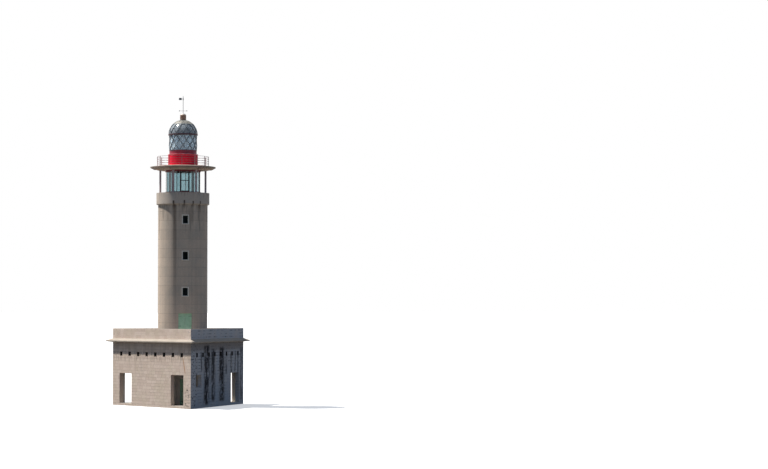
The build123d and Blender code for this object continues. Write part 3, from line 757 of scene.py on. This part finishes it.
def add_ring(bm, inner, outer, foot, head, segments=64):
    """A round hoop of rectangular section on the tower's axis."""
    corners = [(inner, foot), (outer, foot), (outer, head), (inner, head)]
    start = [bm.verts.new((AXIS.x + radius, AXIS.y, level)) for radius, level in corners]
    edges = [bm.edges.new((start[index], start[(index + 1) % 4])) for index in range(4)]
    bmesh.ops.spin(bm, geom=start + edges, cent=AXIS, axis=(0, 0, 1), angle=2 * math.pi,
                   steps=segments, use_merge=True)
    bmesh.ops.recalc_face_normals(bm, faces=list(bm.faces))


def soften(bm, width):
    """A bevel of all edges."""
    bmesh.ops.bevel(bm, geom=list(bm.edges), offset=width, offset_type="OFFSET",
                    affect="EDGES", segments=1, profile=0.5, material=-1, clamp_overlap=True)


def shift(x, y, z):
    """A move without a turn."""
    return Matrix.Translation((x, y, z))


def side_place(turn):
    """The place of a side of the building, from the front side."""
    return Matrix.Translation(AXIS) @ Matrix.Rotation(math.radians(turn), 4, "Z")


def bearing_turn(bearing):
    """A place on the tower's axis, whose +X points along a bearing counted from the front."""
    return side_place(bearing - 90)


# Facing stones

def cut_round(piece, holes):
    """What is left of an upright rectangle round the holes: low and high along, low and high up."""
    left = [piece]
    for low, high, foot, head in holes:
        kept = []
        for a, b, c, d in left:
            if b <= low or a >= high or d <= foot or c >= head:
                kept.append((a, b, c, d))
                continue
            kept.append((a, min(b, low), c, d))
            kept.append((max(a, high), b, c, d))
            kept.append((max(a, low), min(b, high), c, foot))
            kept.append((max(a, low), min(b, high), head, d))
        left = [r for r in kept if r[1] - r[0] > 0.05 and r[3] - r[2] > 0.05]
    return left


def course_levels(foot, head, count):
    """Foot and head of each course in an even stack."""
    step = (head - foot) / count
    return [(foot + step * index, foot + step * (index + 1)) for index in range(count)]


def lay_courses(courses, holes):
    """Stones of uneven length in each course of a side, with their upright joints kept apart."""
    shortest, longest = 0.58, 0.98
    stones = []
    for row, (foot, head) in enumerate(courses):
        edges = [-HALF_SIDE]
        place = -HALF_SIDE + (0.38 if row % 2 else 0.74) * random.uniform(0.85, 1.1)
        while place < HALF_SIDE - 0.3:
            edges.append(place)
            place += random.uniform(shortest, longest)
        edges.append(HALF_SIDE)
        beside = [h for hole in holes if hole[2] < head and hole[3] > foot for h in hole[:2]]
        snapped = []
        for edge in edges:
            near = [h for h in beside if abs(h - edge) < 0.16]
            snapped.append(near[0] if near else edge)
        snapped = sorted(set(snapped))
        for start, end in zip(snapped, snapped[1:]):
            stones += cut_round((start, end, foot, head), holes)
    return stones


def stone_facing(name, finish, sides):
    """Thin facing stones with chamfered edges on flat walls. A side is its turn and its stones."""
    bm = bmesh.new()
    tone = bm.verts.layers.float.new("tone")
    thick = PROUD + 0.004
    for turn, stones in sides:
        for start, end, foot, head in stones:
            proud = PROUD * random.uniform(0.75, 1.0)
            size = (end - start - 2 * JOINT, thick, head - foot - 2 * JOINT)
            centre = ((start + end) / 2, -WALL_DISTANCE - proud + thick / 2, (foot + head) / 2)
            shade = random.random()
            corners = add_block(bm, Matrix.Identity(4), size, centre)
            for vert in corners:
                vert[tone] = shade
                # Stones at a corner of the building are mitred
                if abs(vert.co.x) > HALF_SIDE - 0.02:
                    reach = HALF_SIDE + math.sqrt(3) * (-vert.co.y - WALL_DISTANCE) - 0.001
                    vert.co.x = math.copysign(reach, vert.co.x)
            bmesh.ops.transform(bm, matrix=side_place(turn), verts=corners)
    soften(bm, 0.006)
    finish_piece(name, bm, finish, "structure")


def vent_holes():
    """The eight small openings under the roof of each side."""
    centres = [-HALF_SIDE + 2 * HALF_SIDE / 9 * (index + 1) for index in range(8)]
    return [(c - 0.25, c + 0.25, VENT_FOOT, VENT_HEAD) for c in centres]


def building_stones(finish):
    """Facing stones of the three walls and of the parapet."""
    courses = [(0.0, FLOOR_TOP)] + course_levels(FLOOR_TOP, DOOR_HEAD, COURSES)
    courses += course_levels(DOOR_HEAD, STONES_HEAD, COURSES)
    near = (-HALF_SIDE + 1.48, -HALF_SIDE + 4.04, FLOOR_TOP, DOOR_HEAD)
    far = (-near[1], -near[0], FLOOR_TOP, DOOR_HEAD)
    window = (-HALF_SIDE + 1.57, -HALF_SIDE + 3.19, DOOR_HEAD - 1.4, DOOR_HEAD)
    sides = (("front", 0, [near, far]), ("right", 120, [window, far]), ("back", 240, [near, far]))
    for name, turn, holes in sides:
        stones = lay_courses(courses, holes + vent_holes())
        stone_facing(name + "_wall_stones", finish, [(turn, stones)])
    rows = course_levels(TERRACE, PARAPET_TOP, 3)
    outside = [(turn, lay_courses(rows, [])) for name, turn, holes in sides]
    stone_facing("parapet_stones", finish, outside)


# Doors and windows

def door_boards(name, finish, iron, body, place, leaves, foot, head):
    """Upright boards, a border and ledges on the outer face of each leaf, with hinges and a handle."""
    bm = bmesh.new()
    border = 0.11
    tall = head - foot
    middle = (foot + head) / 2
    for low, high in leaves:
        width = high - low
        for start, end in ((low, low + border), (high - border, high)):
            add_block(bm, place, (0.022, end - start, tall), (0.011, (start + end) / 2, middle))
        for level in (foot, middle - 0.2, head - border):
            centre = (0.011, (low + high) / 2, level + border / 2)
            add_block(bm, place, (0.022, width - 2 * border, border), centre)
        count = max(2, round((width - 2 * border) / 0.13))
        step = (width - 2 * border) / count
        for index in range(count):
            centre = (0.004, low + border + step * (index + 0.5), middle)
            add_block(bm, place, (0.01, step - 0.012, tall - 2 * border), centre)
    soften(bm, 0.003)
    finish_piece(name + "_boards", bm, finish, body)
    bm = bmesh.new()
    for number, (low, high) in enumerate(leaves):
        hinge_edge = low if number == 0 else high
        inward = 1 if number == 0 else -1
        for level in (foot + 0.35, middle, head - 0.35):
            add_block(bm, place, (0.008, 0.34, 0.045), (0.026, hinge_edge + inward * 0.19, level))
            for step in (0.08, 0.18, 0.29):
                spot = shift(0.03, hinge_edge + inward * step, level)
                add_rod(bm, place @ spot @ OUTWARDS, 0.009, 0.006, 8, 0.006)
        if number == 0:
            at = place @ shift(0.022, high - 0.055, foot + 1.05)
            add_block(bm, at, (0.008, 0.05, 0.2), (0.004, 0, 0))
            add_rod(bm, at @ OUTWARDS, 0.011, 0.045, 12)
            lever = at @ shift(0.045, 0, 0) @ Matrix.Rotation(math.pi / 2, 4, "X")
            add_rod(bm, lever, 0.009, 0.11, 10)
    soften(bm, 0.0015)
    finish_piece(name + "_ironwork", bm, iron, body)


def doors(green, iron):
    """Boards and ironwork of the green doors, on the flat faces cut into the round tower."""
    turn = bearing_turn(OPENINGS_BEARING)
    place = turn @ shift(math.sqrt(TOWER_RADIUS ** 2 - 0.6 ** 2) - 0.01, 0, 0)
    door_boards("core_door", green, iron, "door", place, [(-0.565, 0.585)], FLOOR_TOP + 0.01, 3.38)
    place = turn @ shift(math.sqrt(TOWER_RADIUS ** 2 - 0.82 ** 2) - 0.14, 0, 0)
    leaves = [(-0.815, -0.015), (0.015, 0.815)]
    door_boards("terrace_door", green, iron, "structure", place, leaves, TERRACE + 0.01, 11.42)


def window_surrounds(finish):
    """A thin raised border round each tower window, with a sloping sill."""
    bm = bmesh.new()
    low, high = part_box("tower_window_frames")
    place = bearing_turn(OPENINGS_BEARING)
    for index in range(3):
        foot = low.z + WINDOW_PITCH * index
        head = foot + 1.0
        for side in (-1, 1):
            add_block(bm, place, (0.07, 0.10, head - foot + 0.2), (3.025, side * 0.39, (foot + head) / 2))
        add_block(bm, place, (0.07, 0.68, 0.10), (3.025, 0, head + 0.05))
        add_block(bm, place, (0.10, 0.90, 0.07), (3.04, 0, foot - 0.065))
    soften(bm, 0.006)
    finish_piece("window_surrounds", bm, finish, "structure")


# Gallery, drum and lantern

def lattice_bolts(finish):
    """A round plate with a bolt where the lantern's bars cross."""
    bm = bmesh.new()
    row = (LANTERN_TOP - LANTERN_FOOT) / 3
    for level in range(1, 3):
        for bay in range(BAYS):
            bearing = VIEW_BEARING + BAY * (bay + (0.5 if level % 2 == 0 else 0.0))
            spot = bearing_turn(bearing) @ shift(LATTICE_FACE, 0, LANTERN_FOOT + row * level) @ OUTWARDS
            add_rod(bm, spot, 0.048, 0.014, 16, 0.045)
            add_rod(bm, spot @ shift(0, 0, 0.014), 0.02, 0.014, 6)
    soften(bm, 0.002)
    finish_piece("lattice_crossing_plates", bm, finish, "structure")


def railing_fittings(finish):
    """Foot plates, bolts and end caps of the gallery's railing posts."""
    bm = bmesh.new()
    for index in range(BAYS):
        place = bearing_turn(POST_BEARING + BAY * index) @ shift(3.16, 0, GALLERY_TOP)
        add_block(bm, place, (0.16, 0.16, 0.014), (0, 0, 0.007))
        for x in (-0.055, 0.055):
            for y in (-0.055, 0.055):
                add_rod(bm, place @ shift(x, y, 0.014), 0.012, 0.012, 6)
        add_block(bm, place, (0.068, 0.068, 0.02), (0, 0, 1.18))
    soften(bm, 0.0025)
    finish_piece("railing_foot_plates", bm, finish, "structure")


def drum_straps(finish, highlight_finish):
    """Upright cover strips with rivets over the joints of the drum's plates, and its rims, the ledge's rim
    paler as a painted highlight.
    """
    walls = ((DRUM_RADIUS, GALLERY_TOP + 0.06, DRUM_TOP - 0.05),
             (UPPER_DRUM_RADIUS, DRUM_TOP + 0.02, LANTERN_FOOT - 0.05))
    bm = bmesh.new()
    for index in range(BAYS):
        for radius, foot, head in walls:
            place = bearing_turn(VIEW_BEARING + BAY / 2 + BAY * index) @ shift(radius, 0, 0)
            add_block(bm, place, (0.012, 0.07, head - foot), (0.003, 0, (foot + head) / 2))
            count = max(2, round((head - foot) / 0.17))
            for step in range(count):
                level = foot + (head - foot) * (step + 0.5) / count
                for side in (-0.02, 0.02):
                    add_rod(bm, place @ shift(0.009, side, level) @ OUTWARDS, 0.008, 0.005, 6, 0.004)
    finish_piece("drum_cover_strips", bm, finish, "structure")
    bm = bmesh.new()
    for radius, level in ((DRUM_RADIUS, GALLERY_TOP + 0.03), (UPPER_DRUM_RADIUS, LANTERN_FOOT - 0.03)):
        add_ring(bm, radius - 0.006, radius + 0.022, level - 0.028, level + 0.028, 96)
    finish_piece("drum_rims", bm, finish, "structure")
    bm = bmesh.new()
    # The ledge rim's pale pink paint is a painted highlight
    add_ring(bm, DRUM_RADIUS - 0.006, DRUM_RADIUS + 0.026, DRUM_TOP - 0.052, DRUM_TOP + 0.012, 96)
    finish_piece("drum_ledge_rim", bm, highlight_finish, "structure")


def lamp_lens(finish):
    """Level lens rings round the lamp."""
    bm = bmesh.new()
    low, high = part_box("beacon_head")
    rings = 9
    margin = 0.07
    step = (high.z - low.z - 2 * margin) / rings
    for index in range(rings):
        foot = low.z + margin + step * index
        add_ring(bm, 0.245, 0.268, foot + 0.008, foot + step - 0.008, 40)
    finish_piece("lamp_lens_rings", bm, finish, "lamp", True)


def vent_bands(finish):
    """Three bands round the ventilator."""
    bm = bmesh.new()
    low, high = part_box("ventilator")
    body_foot = low.z + 0.10
    for level in (body_foot + 0.02, body_foot + 0.23, body_foot + 0.44):
        add_ring(bm, 0.37, 0.384, level - 0.02, level + 0.02)
    finish_piece("ventilator_bands", bm, finish, "structure", True)


# The finishes of the lighthouse

STONE = facing_stone()
TOWER = tower_concrete()
COLLAR = collar_concrete()
ROOF = mineral("roof_concrete", (0.40, 0.35, 0.30), (0.30, 0.27, 0.22), 0.5, 0.9, 12.0, 0.22, 0.85, 0.004)
FLOOR_STONE = mineral("floor_stone", (0.52, 0.48, 0.43), (0.42, 0.385, 0.335), 0.6, 0.8, 10.0, 0.3,
                      0.88, 0.006)
BRACKET = mineral("bracket_paint", (0.38, 0.27, 0.245), (0.24, 0.18, 0.155), 0.6, 2.0, 14.0, 0.3,
                  0.75, 0.003)
SURROUND = mineral("window_surround", (0.84, 0.79, 0.72), (0.66, 0.60, 0.52), 0.5, 2.5, 16.0, 0.2,
                   0.8, 0.002)
COLUMN = mineral("column_paint", (0.54, 0.44, 0.46), (0.34, 0.275, 0.29), 0.7, 1.5, 14.0, 0.3, 0.7, 0.002)
GREEN = painted("green_paint", (0.40, 0.66, 0.46), (0.26, 0.25, 0.19), 0.5, 7.0, 0.2,
                faded=(0.50, 0.74, 0.56))
PALE_FRAME = painted("window_frame_paint", (0.45, 0.47, 0.42), (0.24, 0.20, 0.15), 0.45, 20.0, 0.3)
DARK = painted("dark_frame_paint", (0.026, 0.032, 0.036), (0.09, 0.055, 0.035), 0.4, 9.0, 0.25)
RING = painted("ring_paint", (0.075, 0.035, 0.042), (0.12, 0.075, 0.05), 0.45, 5.0, 0.3)
MAROON = painted("maroon_paint", (0.15, 0.03, 0.034), (0.12, 0.075, 0.05), 0.45, 5.0, 0.4)
RAIL = painted("rail_paint", (0.28, 0.17, 0.18), (0.14, 0.07, 0.05), 0.5, 12.0, 0.4)
DISC = gallery_concrete()
RED = painted("red_paint", (0.84, 0.008, 0.036), (0.34, 0.03, 0.03), 0.32, 4.0, 0.2,
              faded=(0.88, 0.02, 0.055), sheen=0.14)
by_level(RED, DRUM_TOP + 0.004, (0.29, 0.06, 0.09))
# Painted highlight: the paler pink of the drum's ledge rim
RED_RIM_HIGHLIGHT = painted("red_rim_painted_highlight", (0.72, 0.30, 0.33), (0.5, 0.08, 0.1), 0.35, 5.0, 0.3, sheen=0.3)
LATTICE = painted("lattice_paint", (0.165, 0.19, 0.21), (0.13, 0.10, 0.08), 0.4, 9.0, 0.3)
CAP = cap_plate()
VENT = painted("vent_metal", (0.17, 0.105, 0.08), (0.24, 0.15, 0.09), 0.5, 5.0, 0.5, 0.3)
by_level(VENT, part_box("ventilator")[1].z - 0.13, (0.52, 0.49, 0.46))
VANE = painted("vane_metal", (0.12, 0.14, 0.16), (0.12, 0.08, 0.06), 0.5, 12.0, 0.3)
LAMP = painted("lamp_paint", (0.022, 0.023, 0.032), (0.07, 0.05, 0.04), 0.3, 10.0, 0.2)
IRON = painted("door_iron", (0.17, 0.28, 0.20), (0.14, 0.09, 0.06), 0.5, 18.0, 0.3)
TINTED = glass("tinted_glass", (0.44, 0.585, 0.62), 0.03, 0.35, (0.40, 0.44, 0.45))
# Painted shade: the tower windows' panes are opaque near-black, standing for the dark rooms behind them
WINDOW = painted("window_glass", (0.006, 0.010, 0.010), (0.03, 0.035, 0.034), 0.08, 3.0, 0.15, sheen=0.0)
# The lantern and dome glass are tinted blue as painted reflection of the sky, and partly opaque with dust
CLEAR = glass("lantern_glass", (0.78, 0.92, 1.0), 0.06, 0.5, (0.72, 0.87, 1.0), 0.42)
DOME_GLASS = glass("dome_glass", (0.40, 0.455, 0.50), 0.08, 0.6, (0.45, 0.485, 0.51), 0.38)

BY_SLOT = {
    "stone": STONE, "tower_stone": TOWER, "floor_stone": FLOOR_STONE, "roof_concrete": ROOF,
    "green_paint": GREEN, "window_frame": PALE_FRAME, "window_glass": WINDOW, "dark_frame": DARK,
    "tinted_glass": TINTED, "column": COLUMN, "rail": RAIL, "red_paint": RED, "lattice": LATTICE,
    "lantern_glass": CLEAR, "cap_metal": CAP, "vent_metal": VENT, "vane_metal": VANE, "lamp": LAMP,
}
BY_NODE = {
    "collar_odd_segments": COLLAR, "collar_even_segments": COLLAR, "glass_room_deck": COLLAR,
    "dome_glass": DOME_GLASS, "gallery_disc": DISC, "gallery_brackets": BRACKET,
    "glass_room_bands": MAROON, "dome_ring": RING,
}
for part in frame["record"]["subparts"]:
    node = frame["nodes"][part["node"]]
    chosen = BY_NODE.get(part["node"], BY_SLOT[part["material_slot"]])
    node.data.materials.clear()
    node.data.materials.append(chosen)

building_stones(STONE)
doors(GREEN, IRON)
window_surrounds(SURROUND)
lattice_bolts(LATTICE)
railing_fittings(RAIL)
drum_straps(RED, RED_RIM_HIGHLIGHT)
lamp_lens(LAMP)
vent_bands(VENT)

make_camera()
make_sun()
make_sky()
make_floor()
bpy.context.scene.view_settings.view_transform = "Standard"

bpy.context.view_layer.update()
